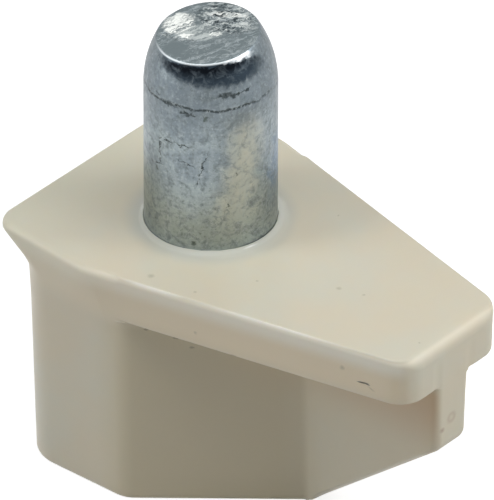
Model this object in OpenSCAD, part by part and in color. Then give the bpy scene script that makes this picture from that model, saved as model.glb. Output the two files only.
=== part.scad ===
// Shelf support: a moulded plastic bracket with a steel pin set into it.
// The pin plugs into a 5 mm hole in a cabinet side. The mounting face then lies on the panel, the
// shelf rests on the seat, and the web under the seat stiffens the bracket.
// Frame: the origin is where the pin's axis leaves the mounting face. +Z runs along the pin to its
// tip, the seat looks along -X, and the narrow end of the plate points along +X. Millimetres.

/* [Mounting plate] */
// Thickness of the plate
plate_t = 1.95; // [1.5:0.05:2.6]
// Pin axis to the lip at the wide end
lip_x = 6.05; // [5.8:0.05:7.2]
// Width over the corners of the wide end
wide_w = 10.85; // [10.4:0.05:13]
// Pin axis to the shoulders, measured towards the wide end
shoulder_x = 1.4; // [1:0.1:2.2]
// Width over the shoulders
shoulder_w = 11.45; // [10.8:0.05:12.6]
// Pin axis to the narrow end
tip_x = 11.9; // [10.5:0.1:14]
// Width of the narrow end
tip_w = 5.35; // [4.4:0.05:7]
// Corner radius of the lip, seen from above
wide_corner_r = 0.95; // [0.8:0.05:1.6]
// Corner radius of the shoulders
shoulder_r = 1; // [0.8:0.1:2]
// Corner radius of the narrow end
tip_corner_r = 1.1; // [0.6:0.1:1.4]

/* [Rounded edges] */
// Edge radius along the lip
lip_edge_r = 0.25; // [0.2:0.05:0.6]
// Edge radius from the lip to the shoulders
wide_edge_r = 0.3; // [0.2:0.05:0.8]
// Edge radius along the tapered sides
side_edge_r = 0.2; // [0.1:0.05:0.6]
// Edge radius at the narrow end
tip_edge_r = 0.5; // [0.2:0.05:0.6]
// Edge radius round the block's end face
base_edge_r = 0.15; // [0.1:0.05:0.5]

/* [Block] */
// Mounting face to the block's end face
block_h = 10.15; // [9:0.05:13]
// Pin axis to the seat that carries the shelf
seat_x = 5.15; // [4.4:0.05:5.4]
// Thickness of the lip before its flare
lip_t = 0.35; // [0.3:0.05:0.8]
// Radius that blends the flare into the seat
flare_r = 0.9; // [0.6:0.1:1.6]
// Corner radius of the block beside the seat
seat_corner_r = 1.65; // [0.8:0.05:1.8]
// Pin axis to the corner where the sides turn in
cheek_x = 0.2; // [0:0.05:0.5]
// Width over those corners
cheek_w = 10.7; // [10.2:0.1:11.2]
// Radius of that corner
cheek_r = 1.2; // [0.6:0.1:1.6]
// Pin axis to the line where the slanted cheeks meet the web
nose_x = 5.4; // [5:0.1:6.5]
// Draft of every wall, in degrees
draft = 0.9; // [0.2:0.1:1.2]

/* [Web] */
// Thickness of the web
web_t = 1.85; // [1.4:0.05:2.4]
// Mounting face to the corner where the web's end meets its slope
web_d = 4.85; // [4.5:0.05:6]
// Radius of that corner
web_end_r = 0.7; // [0.6:0.1:1.8]
// Radius of the web's upright edges
web_corner_r = 0.3; // [0.15:0.05:0.4]
// Radius where the web runs into the cheeks
web_root_r = 0.5; // [0.2:0.1:0.8]

/* [Pin] */
// Diameter of the pin
pin_d = 5; // [4.6:0.1:5.4]
// Straight length of the pin above the mounting face
pin_straight = 6; // [5:0.1:8]
// Radius of the nose's long curve, in profile
nose_r = 4.55; // [4.2:0.05:7]
// Radius of the flat on the nose before it is sheared
nose_flat_r = 1.5; // [1.4:0.05:1.7]
// Radius of the nose's rim, in profile
rim_r = 0.45; // [0.2:0.05:0.6]
// How far below the nose's top the sheared face crosses the axis
shear_drop = 0.28; // [0.2:0.01:0.4]
// Angle by which the sheared face is out of square, in degrees
shear_tilt = 6; // [0:0.1:8]
// Diameter of the shank under the pin's shoulder, which is set into the bracket
shank_d = 4.4; // [3.8:0.1:4.5]
// Length of that shank
shank_l = 6; // [4:0.5:7]
// Chamfer on the shank's end
shank_chamfer = 0.3; // [0.1:0.1:0.6]

/* [Fit] */
// Clearance round the shank in its bore and round the pin in the plastic rim, on the radius
bore_clearance = 0.01; // [0.005:0.005:0.05]
// Height of the plastic rim raised round the pin
collar_h = 0.14; // [0.05:0.01:0.3]
// Width of that rim on its wider side
collar_w = 0.55; // [0.3:0.05:0.8]
// How far that rim is off centre, towards the narrow end
collar_shift = 0.2; // [0:0.05:0.25]

/* [Hidden] */

$fn = 96;
ARC = 6; // steps in each rounded corner of an outline
EDGE = 5; // steps in each rounded edge
SLICES = 6; // steps down the flare, and round the web's end
BLENDS = 3; // steps down the blend under the plate
SHEAR_FACING = 72; // direction in which the sheared face rises, from +X, in degrees
BLEND = 1.4; // depth under the plate by which its sides have run into the block's
SEAM = 0.08; // step down from the plate's wall to the block's where they are flush
CRISP_X = -0.2; // where the soft side edges have turned crisp
SOFT_END = 1; // length over which they do so
SLIVER = 0.04; // least step between neighbouring rings
STUB = 0.12; // what is left of the web at the block's end face
taper = tan(draft);

// Where the flare's straight part ends, and where its blend has reached the seat
flare_corner = lip_t + lip_x - seat_x;
flare_end = flare_corner + flare_r * tan(22.5);
flare_start = flare_end - flare_r * sin(45);

// The web's end: its rounded corner starts at web_round and turns through web_turn
web_slope = (tip_x - block_h * taper - nose_x - STUB) / (block_h - web_d);
web_turn = atan(web_slope);
web_round = web_d - web_end_r * tan(web_turn / 2);

// The nose's profile: centre of its long curve, centre of its rim, and where the two curves touch
nose_centre = [pin_d / 2 - nose_r, pin_straight];
rim_rise = sqrt(pow(nose_r - rim_r, 2) - pow(nose_flat_r - nose_centre.x, 2));
rim_centre = [nose_flat_r, pin_straight + rim_rise];
rim_touch = nose_centre + (rim_centre - nose_centre) * nose_r / (nose_r - rim_r);
nose_top = rim_centre.y + rim_r;

function lerp(pair, t) = pair[0] + (pair[1] - pair[0]) * t;

// The opposite half of a list of outline corners, mirrored in the XZ plane
function mirrored(half) = [for (i = [len(half) - 1 : -1 : 0]) [half[i].x, -half[i].y]];
function both_ways(pairs) = concat(pairs, [for (i = [len(pairs) - 1 : -1 : 0]) [pairs[i][1], pairs[i][0]]]);
function both(values) = concat(values, [for (i = [len(values) - 1 : -1 : 0]) values[i]]);

// One corner of a counter-clockwise outline, as [x, y, normal x, normal y, share of the turn].
// Where the outline runs straight through, r is half the length that the points are spread over.
function corner(before, at, after, r) =
    let (in = atan2(at.y - before.y, at.x - before.x) - 90,
         out_raw = atan2(after.y - at.y, after.x - at.x) - 90,
         turn = (out_raw - in + 540) % 360 - 180,
         n0 = [cos(in), sin(in)],
         n1 = [cos(in + turn), sin(in + turn)],
         side = sign(turn),
         centre = at - side * r * (n0 + n1) / (1 + n0 * n1))
    [for (j = [0 : ARC])
        let (t = j / ARC, n = [cos(in + turn * t), sin(in + turn * t)])
        abs(turn) < 0.5
            ? [at.x - n0.y * r * (2 * t - 1), at.y + n0.x * r * (2 * t - 1), n0.x, n0.y, t]
            : [centre.x + side * r * n.x, centre.y + side * r * n.y, n.x, n.y, t]];

// A closed outline, symmetrical in the XZ plane, from the corners on its -Y side
function outline(half, radii) =
    let (all = concat(half, mirrored(half)), rs = both(radii), n = len(all))
    [for (i = [0 : n - 1]) each corner(all[(i + n - 1) % n], all[i], all[(i + 1) % n], rs[i])];

// A value for each point of an outline, from one pair for each corner on its -Y side
function along(pairs) = [for (pair = both_ways(pairs), j = [0 : ARC]) lerp(pair, j / ARC)];

// A ring of the loft: the outline, drawn in by inset[i] and laid at depth[i] under the mounting face
function ring(points, inset, depth) =
    [for (i = [0 : len(points) - 1])
        let (p = points[i]) [p[0] - p[2] * inset[i], p[1] - p[3] * inset[i], -depth[i]]];

// A closed solid through rings of equal length, from top to bottom, with a fan on each end
module loft(rings) {
    n = len(rings[0]);
    last = len(rings) - 1;
    points = concat([for (r = rings) each r], [[0, 0, rings[0][0].z], [0, 0, rings[last][0].z]]);
    walls = [for (k = [0 : last - 1], i = [0 : n - 1])
        let (a = k * n + i, b = k * n + (i + 1) % n) each [[a, b, b + n], [a, b + n, a + n]]];
    top = [for (i = [0 : n - 1]) [(last + 1) * n, (i + 1) % n, i]];
    foot = [for (i = [0 : n - 1]) [(last + 1) * n + 1, last * n + i, last * n + (i + 1) % n]];
    polyhedron(points, concat(walls, top, foot), convexity = 6);
}

// Distance of the lip, the flare and then the seat from the pin's axis, at a depth
function wide_end(d) =
    d <= lip_t ? lip_x
    : d <= flare_start ? lip_x - (d - lip_t)
    : d <= flare_end ? seat_x + flare_r - sqrt(pow(flare_r, 2) - pow(flare_end - d, 2))
    : seat_x - (d - flare_end) * taper;

// Half the width of the plate beside the lip and shoulders, at a place along X and a depth
function side_y(x, d) =
    shoulder_w / 2 + (wide_w - shoulder_w) / 2 * (-shoulder_x - x) / (lip_x - shoulder_x) - d * taper;

// Half the width of the plate beside its tapered part
function tapered_y(x, d) =
    shoulder_w / 2 + (tip_w - shoulder_w) / 2 * (x + shoulder_x) / (tip_x + shoulder_x) - d * taper;

// Distance of the web's end from the pin's axis, at a depth
function web_end(d) =
    d <= web_round ? tip_x - d * taper
    : d <= web_round + web_end_r * sin(web_turn)
        ? tip_x - d * taper - web_end_r + sqrt(pow(web_end_r, 2) - pow(d - web_round, 2))
    : tip_x - d * taper - (d - web_d) * web_slope;

// Half the thickness of the web at a depth
function half_web(d) = web_t / 2 + (plate_t - d) * taper;

function wide_corner(d) = [-wide_end(d), -side_y(-wide_end(d), d)];
function wide_radius(d) =
    lerp([wide_corner_r, seat_corner_r], min(1, max(0, d - lip_t) / (flare_end - lip_t)));

// The plate's corners at a depth: lip, shoulder, the place where the soft edge turns crisp, narrow
// end, and the place over the web's edge
function plate_corners(d) = [
    wide_corner(d),
    [-shoulder_x, -side_y(-shoulder_x, d)],
    [CRISP_X - SOFT_END / 2, -tapered_y(CRISP_X - SOFT_END / 2, d)],
    [tip_x - d * taper, -tapered_y(tip_x, d)],
    [tip_x - d * taper, -half_web(plate_t)]];
function plate_radii(d) = [wide_radius(d), shoulder_r, SOFT_END / 2, tip_corner_r, web_corner_r];

// The block's corners with the web's, at a depth: beside the seat, half way along the side, at the
// cheek, at the web's root and at its end. The web's radii shrink as it runs out.
function block_corners(d) =
    let (seat = wide_corner(d),
         cheek = [cheek_x, d * taper - cheek_w / 2],
         side = lerp([seat, cheek], (-shoulder_x - seat.x) / (cheek_x - seat.x)))
    [seat, side, cheek, [nose_x, -half_web(d)], [web_end(d), -half_web(d)]];
function block_radii(d) =
    let (room = (web_end(d) - nose_x) * 0.45)
    [wide_radius(d), shoulder_r, cheek_r, min(web_root_r, room * 2), min(web_corner_r, room)];

// Edge radius at every point of the plate's outline
edge_r = along([[lip_edge_r, wide_edge_r], [wide_edge_r, wide_edge_r], [wide_edge_r, side_edge_r],
                [side_edge_r, tip_edge_r], [tip_edge_r, tip_edge_r]]);
// How flush the plate's wall is with the block's at every point: 1 along the sides beside the seat
// and over the web's end, 0 along the overhang
flush = [for (t = along([[1, 1], [1, 1], [1, 0], [0, 0], [0, 1]])) t * t * (3 - 2 * t)];
COUNT = len(edge_r);
function level(d) = [for (i = [1 : COUNT]) d];

// The loft's rings, from the mounting face down. Every rounded edge has ended at rim_depth.
rim_depth = max(max(edge_r), lip_t) + SLIVER;
blend_end = min(plate_t + BLEND, web_round - SLIVER);
plate_edge = [for (k = [EDGE : -1 : 0])
    let (a = 90 * k / EDGE)
    ring(outline(plate_corners(0), plate_radii(0)), edge_r * (1 - cos(a)), edge_r * (1 - sin(a)))];
plate_land = ring(outline(plate_corners(0), plate_radii(0)), level(0),
                  [for (r = edge_r) max(r + SLIVER, lip_t)]);

// Where the walls are flush, they pass from the plate's outline to the block's between rim_depth and
// blend_end. hang is 1 for the plate's own wall and 0 for the block's.
function wall(d, hang, drop = 0) =
    let (plate = ring(outline(plate_corners(d), plate_radii(d)), level(0), level(d) + drop * flush),
         block = ring(outline(block_corners(d), block_radii(d)), level(0), level(d) + drop * flush),
         still = pow(max(0, (blend_end - d) / (blend_end - rim_depth)), 1.7))
    [for (i = [0 : COUNT - 1]) lerp([block[i], plate[i]], lerp([hang, still], flush[i]))];
plate_wall = [for (k = [1 : SLICES]) wall(lerp([rim_depth, plate_t], k / SLICES), 1)];
block_top = wall(plate_t, 0, SEAM);
block_wall = [for (d = concat([for (k = [1 : BLENDS]) lerp([plate_t, blend_end], k / BLENDS)],
                              [for (k = [0 : SLICES]) web_round + web_end_r * sin(web_turn * k / SLICES)],
                              [block_h - base_edge_r]))
    wall(d, 0)];
base_edge = [for (k = [EDGE - 1 : -1 : 0])
    let (a = 90 * k / EDGE, d = block_h - base_edge_r * (1 - cos(a)))
    ring(outline(block_corners(block_h), block_radii(block_h)),
         level(base_edge_r * (1 - sin(a))), level(d))];

// The moulded skin: plate, flared lip, block and web as one loft from the mounting face down
module moulded_skin() {
    loft(concat(plate_edge, [plate_land], plate_wall, [block_top], block_wall, base_edge));
}

// The low rim of plastic round the pin, wider towards the narrow end
module collar() {
    foot_r = pin_d / 2 + collar_w - collar_shift;
    crest_r = pin_d / 2 - collar_shift / 2;
    translate([collar_shift, 0, -collar_h])
        cylinder(h = 2 * collar_h, r1 = 2 * foot_r - crest_r, r2 = crest_r);
}

module bracket_body() {
    color("#D1CAB8") difference() {
        union() {
            moulded_skin();
            collar();
        }
        translate([0, 0, -shank_l])
            cylinder(h = shank_l + collar_h, r = shank_d / 2 + bore_clearance);
        cylinder(h = 2 * collar_h, r = pin_d / 2 + bore_clearance);
    }
}

// Half profile of the pin: shank, shoulder on the mounting face, then the nose's curve, rim and flat
module pin_profile() {
    polygon([[0, -shank_l], [shank_d / 2 - shank_chamfer, -shank_l],
             [shank_d / 2, shank_chamfer - shank_l], [shank_d / 2, 0],
             [pin_d / 2, 0], [pin_d / 2, pin_straight], [0, pin_straight]]);
    intersection() {
        translate(nose_centre) circle(r = nose_r);
        polygon([[0, pin_straight], [nose_r, pin_straight], [nose_r, rim_touch.y], rim_touch, rim_centre,
                 [nose_flat_r, nose_top], [0, nose_top]]);
    }
    intersection() {
        translate(rim_centre) circle(r = rim_r);
        translate([0, pin_straight]) square([nose_r, nose_r]);
    }
}

module steel_pin() {
    color("#8E989C") difference() {
        rotate_extrude() pin_profile();
        rotate([0, 0, SHEAR_FACING])
            translate([0, 0, nose_top - shear_drop])
                rotate([0, -shear_tilt, 0])
                    translate([-pin_d, -pin_d, 0]) cube([2 * pin_d, 2 * pin_d, pin_d]);
    }
}

bracket_body();
steel_pin();
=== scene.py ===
"""Shelf support: a moulded plastic bracket with a zinc plated steel pin set into it.

The origin is where the pin's axis leaves the plate's flat face. +Z runs along the pin to its tip, and
the narrow end of the plate points along +X. Lengths are in millimetres until a mesh is made."""
import math
from functools import reduce

import bpy
import numpy as np
from mathutils import Matrix, Vector


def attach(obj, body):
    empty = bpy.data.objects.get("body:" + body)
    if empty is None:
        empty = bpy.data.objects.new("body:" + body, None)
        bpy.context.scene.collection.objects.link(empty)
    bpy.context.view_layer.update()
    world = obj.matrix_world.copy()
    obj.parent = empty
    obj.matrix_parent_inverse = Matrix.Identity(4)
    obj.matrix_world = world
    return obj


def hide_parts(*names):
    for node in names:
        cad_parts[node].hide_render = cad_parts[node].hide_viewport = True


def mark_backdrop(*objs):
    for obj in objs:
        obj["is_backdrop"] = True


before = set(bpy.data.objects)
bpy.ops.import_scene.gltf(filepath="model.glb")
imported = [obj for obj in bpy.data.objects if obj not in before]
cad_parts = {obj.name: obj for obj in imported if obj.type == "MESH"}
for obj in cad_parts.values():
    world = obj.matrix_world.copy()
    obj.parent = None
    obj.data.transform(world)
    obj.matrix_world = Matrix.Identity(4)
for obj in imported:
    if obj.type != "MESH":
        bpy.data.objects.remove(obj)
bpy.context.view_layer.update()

MM = 0.001

# ---------------------------------------------------------------- sizes of the bracket, in mm
PLATE_T = 1.95          # thickness of the plate
LIP_X, WIDE_W = 6.05, 10.85          # wide end: distance from the pin's axis, width
SHOULDER_X, SHOULDER_W = 1.4, 11.45          # shoulders, where the plate is widest
TIP_X, TIP_W = 11.9, 5.35          # narrow end
WIDE_CORNER_R, SHOULDER_R, TIP_CORNER_R = 0.95, 3.0, 1.1          # corners seen from above
LIP_EDGE_R, WIDE_EDGE_R, SIDE_EDGE_R, TIP_EDGE_R = 0.25, 0.28, 0.36, 0.5          # upper edge
CREASE = math.radians(50)          # turn left out at the start of the sides' upper edge
BASE_EDGE_R = 0.15          # edge round the block's end face
UNDER_EDGE_R = 0.09          # edge under the overhang
UNDER_FILLET_R = 0.14          # fillet between the overhang and the cheeks
BLOCK_H, SEAT_X, LIP_T = 10.15, 5.15, 0.35          # depth of the block's foot, place of the seat, lip
FLARE_R, SEAT_CORNER_R = 0.9, 1.65          # between the flare and the seat, and the seat's corners
SIDE_RUN = 1.0          # half the length of the run in the middle of the block's side
CHEEK_X, CHEEK_W, CHEEK_R = 0.2, 10.7, 1.2          # where the sides turn into the slanted cheeks
NOSE_X = 5.4          # where the cheeks meet the web
TAPER = math.tan(math.radians(0.9))          # draft of every wall
WEB_T, WEB_D = 1.85, 4.85          # web: thickness, and depth where its end would turn in if sharp
WEB_END_R, WEB_CORNER_R, WEB_ROOT_R = 0.7, 0.33, 0.5          # that fold, upright corners, root fillets
STUB = 0.12          # how far the web still stands out of the block at its foot
FLUSH_TOP, BLEND = 0.54, 1.4          # depth where the flush sides start into the block, and
#                                       how far under the plate they end
SEAM = 0.08          # depth from the plate to the block's first ring, where the two are flush
CRISP_X, SOFT_END = 0.7, 1.0          # end and length of the change to the creased, overhanging edge
COLLAR_H, COLLAR_W, COLLAR_SHIFT = 0.14, 0.55, 0.2          # plastic rim raised round the pin

# ---------------------------------------------------------------- sizes of the pin, in mm
PIN_R, PIN_STRAIGHT, NOSE_R, NOSE_FLAT_R, RIM_R = 2.5, 6.0, 4.55, 1.5, 0.45
SHEAR_DROP, SHEAR_TILT, SHEAR_FACING = 0.28, math.radians(6), math.radians(72)
SHANK_R, SHANK_L, SHANK_CHAMFER, CLEARANCE = 2.2, 6.0, 0.3, 0.01

# Height of the turned nose's top, were it not cut, and of the cut face on the pin's axis
NOSE_RISE = math.sqrt((NOSE_R - RIM_R) ** 2 - (NOSE_FLAT_R - PIN_R + NOSE_R) ** 2)
CUT_HEIGHT = PIN_STRAIGHT + NOSE_RISE + RIM_R - SHEAR_DROP

# Where the flare's straight part ends, and where its blend has reached the seat
FLARE_END = LIP_T + LIP_X - SEAT_X + FLARE_R * math.tan(math.radians(22.5))
FLARE_START = FLARE_END - FLARE_R * math.sin(math.radians(45))
WEB_SLOPE = (TIP_X - BLOCK_H * TAPER - NOSE_X - STUB) / (BLOCK_H - WEB_D)
WEB_TURN = math.atan(WEB_SLOPE)
WEB_ROUND = WEB_D - WEB_END_R * math.tan(WEB_TURN / 2)

ARC = 12          # steps in each rounded corner of an outline
EDGE = 8          # steps in each rounded edge
# Places of the points on each straight run of an outline, close to its ends and sparse between them
RUN = np.array([0.012, 0.08, 0.22, 0.4, 0.6, 0.78, 0.92, 0.988])


# ---------------------------------------------------------------- bracket
def outline(half, radii):
    """The closed outline through the corners on one side and their mirror images, as x, y and outward
    normal. A corner is an arc that touches both of its runs, and the runs are straight."""
    at = np.concatenate([half, half[::-1] * [1, -1]])
    r = np.concatenate([radii, radii[::-1]])[:, None]
    step = np.roll(at, -1, 0) - at
    heading = np.arctan2(step[:, 1], step[:, 0]) - math.pi / 2
    before = np.roll(heading, 1)
    turn = (heading - before + 3 * math.pi) % (2 * math.pi) - math.pi
    n0 = np.stack([np.cos(before), np.sin(before)], 1)
    n1 = np.stack([np.cos(before + turn), np.sin(before + turn)], 1)
    side = np.sign(turn)[:, None]
    centre = at - side * r * (n0 + n1) / (1 + (n0 * n1).sum(1, keepdims=True))
    t = np.linspace(0, 1, ARC + 1)
    angle = before[:, None] + turn[:, None] * t
    normal = np.stack([np.cos(angle), np.sin(angle)], 2)
    curved = centre[:, None] + (side * r)[:, None] * normal
    tangent = np.stack([-n0[:, 1], n0[:, 0]], 1)
    straight = at[:, None] + tangent[:, None] * r[:, None] * (2 * t - 1)[None, :, None]
    place = np.where(np.abs(turn)[:, None, None] < 0.01, straight, curved)
    follow = np.roll(place[:, 0], -1, 0)
    run = place[:, -1:] + (follow - place[:, -1])[:, None] * RUN[None, :, None]
    run_normal = np.repeat(normal[:, -1:], len(RUN), 1)
    return (np.concatenate([place, run], 1).reshape(-1, 2),
            np.concatenate([normal, run_normal], 1).reshape(-1, 2))


def along(pairs):
    """A value for each point of an outline. It changes evenly through a corner, from the first to the
    second number of that corner's pair, and evenly along each run."""
    pairs = np.array(pairs, float)
    pairs = np.concatenate([pairs, pairs[::-1, ::-1]])
    through = pairs[:, :1] + (pairs[:, 1:] - pairs[:, :1]) * np.linspace(0, 1, ARC + 1)
    between = pairs[:, 1:] + (np.roll(pairs[:, 0], -1)[:, None] - pairs[:, 1:]) * RUN
    return np.concatenate([through, between], 1).ravel()


def smooth(t):
    """A share from 0 to 1, eased at both ends: three times its square less twice its cube."""
    return t * t * (3 - 2 * t)


def wide_end(d):
    """Distance of the lip, the flare and then the seat from the pin's axis, at a depth."""
    if d <= LIP_T:
        return LIP_X
    if d <= FLARE_START:
        return LIP_X - (d - LIP_T)
    if d <= FLARE_END:
        return SEAT_X + FLARE_R - math.sqrt(FLARE_R ** 2 - (FLARE_END - d) ** 2)
    return SEAT_X - (d - FLARE_END) * TAPER


def half_width(x, d):
    """Half the width of the plate at a place along X and a depth, on either side of the shoulders."""
    end_x, end_w = (-LIP_X, WIDE_W) if x < -SHOULDER_X else (TIP_X, TIP_W)
    return (SHOULDER_W + (end_w - SHOULDER_W) * (x + SHOULDER_X) / (end_x + SHOULDER_X)) / 2 - d * TAPER


def web_end(d):
    """Distance of the web's end from the pin's axis, at a depth: drafted, rounded, then sloping in."""
    if d <= WEB_ROUND:
        return TIP_X - d * TAPER
    if d <= WEB_ROUND + WEB_END_R * math.sin(WEB_TURN):
        return TIP_X - d * TAPER - WEB_END_R + math.sqrt(WEB_END_R ** 2 - (d - WEB_ROUND) ** 2)
    return TIP_X - d * TAPER - (d - WEB_D) * WEB_SLOPE


def half_web(d):
    """Half the thickness of the web at a depth."""
    return WEB_T / 2 + (PLATE_T - d) * TAPER


def wide_corner(d):
    """The corner at the wide end at a depth, and its radius, which grows down the flare."""
    share = min(1, max(0, d - LIP_T) / (FLARE_END - LIP_T))
    return ((-wide_end(d), -half_width(-wide_end(d), d)),
            WIDE_CORNER_R + (SEAT_CORNER_R - WIDE_CORNER_R) * share)


def plate_outline(d):
    """The plate's outline at a depth: lip, shoulder, change of edge, narrow end, place over the web."""
    seat, seat_r = wide_corner(d)
    change = CRISP_X - SOFT_END / 2
    half = [seat, (-SHOULDER_X, -half_width(-SHOULDER_X, d)), (change, -half_width(change, d)),
            (TIP_X - d * TAPER, -half_width(TIP_X, d)), (TIP_X - d * TAPER, -half_web(PLATE_T))]
    radii = [seat_r, SHOULDER_R, SOFT_END / 2, TIP_CORNER_R, WEB_CORNER_R]
    return outline(np.array(half), np.array(radii))


def block_outline(d):
    """The outline of the block with its web at a depth: seat, side, cheek, web's root and web's end."""
    seat, seat_r = wide_corner(d)
    cheek = (CHEEK_X, d * TAPER - CHEEK_W / 2)
    share = (-SHOULDER_X - seat[0]) / (CHEEK_X - seat[0])
    side = (-SHOULDER_X, seat[1] + (cheek[1] - seat[1]) * share)
    room = (web_end(d) - NOSE_X) * 0.45
    half = [seat, side, cheek, (NOSE_X, -half_web(d)), (web_end(d), -half_web(d))]
    return outline(np.array(half), np.array([seat_r, SIDE_RUN, CHEEK_R, min(WEB_ROOT_R, room * 2),
                                             min(WEB_CORNER_R, room)]))


def ring(flat, inset, depth):
    """An outline drawn in by inset along its normals and laid at a depth under the plate's face."""
    place, normal = flat
    level = np.broadcast_to(-np.asarray(depth, float), len(place))
    return np.column_stack([place - normal * np.broadcast_to(inset, len(place))[:, None], level])


def wall(d, hang, flush, inset=0, drop=0):
    """A ring of the wall at a depth. hang is 1 for the plate's outline and 0 for the block's. Where
    flush is 1, the ring passes from the first to the second between two depths, without a crease."""
    end = min(PLATE_T + BLEND, WEB_ROUND - 0.04)
    still = max(0, (end - d) / (end - FLUSH_TOP)) ** 1.7
    plate = ring(plate_outline(d), inset * hang, d + drop)
    block = ring(block_outline(d), inset * (1 - hang), d + drop)
    share = hang + (still - hang) * flush
    return block + (plate - block) * share[:, None]


def bracket_rings():
    """The bracket as closed rings, from the floor of the pin's bore out over the plate's face, down
    its edge and walls, under the overhang, down the block, and round the edge of its end face."""
    edge = along([[LIP_EDGE_R, WIDE_EDGE_R], [WIDE_EDGE_R, WIDE_EDGE_R], [WIDE_EDGE_R, SIDE_EDGE_R],
                  [SIDE_EDGE_R, TIP_EDGE_R], [TIP_EDGE_R, TIP_EDGE_R]])
    flush = smooth(along([[1, 1], [1, 1], [1, 0], [0, 0], [0, 1]]))
    free = 1 - flush
    creased = np.minimum(1, 1.8 * along([[0, 0], [0, 0], [0, 1], [1, 0], [0, 0]]))
    start = math.pi / 2 - CREASE * smooth(creased)
    top = plate_outline(0)
    face = ring(top, edge * (1 - np.cos(start)), 0)
    bearing = np.arctan2(face[:, 1], face[:, 0])
    turned = np.column_stack([np.cos(bearing), np.sin(bearing), 0 * bearing])

    # The bore, then the raised rim: a cone set off centre, which a cosine eases into the face
    foot_r, crest_r = PIN_R + COLLAR_W - COLLAR_SHIFT, PIN_R - COLLAR_SHIFT / 2
    foot = COLLAR_SHIFT * np.cos(bearing) + np.sqrt(foot_r ** 2 - (COLLAR_SHIFT * np.sin(bearing)) ** 2)
    bore = PIN_R + CLEARANCE
    crest = np.clip((foot - bore) * COLLAR_H / (foot_r - crest_r), 0, COLLAR_H)
    rings = [turned * r - [0, 0, z] for r, z in
             [(SHANK_R * 0.5, SHANK_L), (SHANK_R + CLEARANCE, SHANK_L), (SHANK_R + CLEARANCE, 0.01),
              (bore, 0.01)]]
    crown = 0.05          # rounding of the rim's crest
    for a in np.linspace(0, math.pi / 2, 5):
        height = np.maximum(crest - crown * (1 - math.sin(a)), 0.002)
        rings.append(turned * (bore + crown * (1 - math.cos(a))) + height[:, None] * [0, 0, 1])
    for k in np.linspace(0, 1, 12)[1:]:
        reach = (bore + crown) * (1 - k) + (foot + 0.06) * k
        height = crest * (1 - k) ** 1.35 * (0.5 + 0.5 * math.cos(math.pi * k ** 1.6))
        rings.append(turned * reach[:, None] + height[:, None] * [0, 0, 1])
    inner = rings[-1] * [1, 1, 0]
    rings += [inner + (face - inner) * k for k in (0.06, 0.2, 0.4, 0.6, 0.8, 0.93, 0.985)]

    # The plate's upper edge, its land and its wall, with a small rounding under the overhang
    for a in start * np.linspace(1, 0, EDGE + 1)[:, None]:
        rings.append(ring(top, edge * (1 - np.cos(a)), edge * (np.sin(start) - np.sin(a))))
    rings.append(ring(top, 0, np.maximum(edge + 0.02, LIP_T)))
    rings += [wall(d, 1, flush) for d in np.linspace(0.58, PLATE_T - UNDER_EDGE_R, 15)]
    for a in np.linspace(0, math.pi / 2, 6)[1:]:
        d = PLATE_T - UNDER_EDGE_R * (1 - math.sin(a))
        rings.append(wall(d, 1, flush, inset=free * UNDER_EDGE_R * (1 - math.cos(a))))

    # Under the overhang, through a small fillet, and down the block
    outer = rings[-1]
    under = [wall(PLATE_T + SEAM + 0.05 * a, 0, flush, inset=-UNDER_FILLET_R * (1 - math.sin(a)) * free,
                  drop=(UNDER_FILLET_R * (1 - math.cos(a)) - SEAM - 0.05 * a) * free)
             for a in np.linspace(0, math.pi / 2, 6)]
    rings.append(outer + (under[0] - outer) * (0.06 + 0.44 * flush[:, None]))
    rings += under
    depths = np.concatenate([PLATE_T + np.array([0.2, 0.35, 0.55, 0.75, 0.95, 1.15, 1.3, 1.4, 1.6, 2.0]),
                             WEB_ROUND + WEB_END_R * np.sin(WEB_TURN * np.linspace(0, 1, 10)),
                             [WEB_D + 0.7, 6.6, 7.7, 8.7, 9.5, BLOCK_H - BASE_EDGE_R - 0.08,
                              BLOCK_H - BASE_EDGE_R]])
    rings += [wall(d, 0, flush) for d in depths]
    foot_line = block_outline(BLOCK_H)
    for a in np.linspace(0, math.pi / 2, EDGE)[1:]:
        rings.append(ring(foot_line, BASE_EDGE_R * (1 - math.cos(a)),
                          BLOCK_H - BASE_EDGE_R * (1 - math.sin(a))))
    rings.append(rings[-1] * [0.97, 0.97, 1])
    return np.array(rings)


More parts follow.
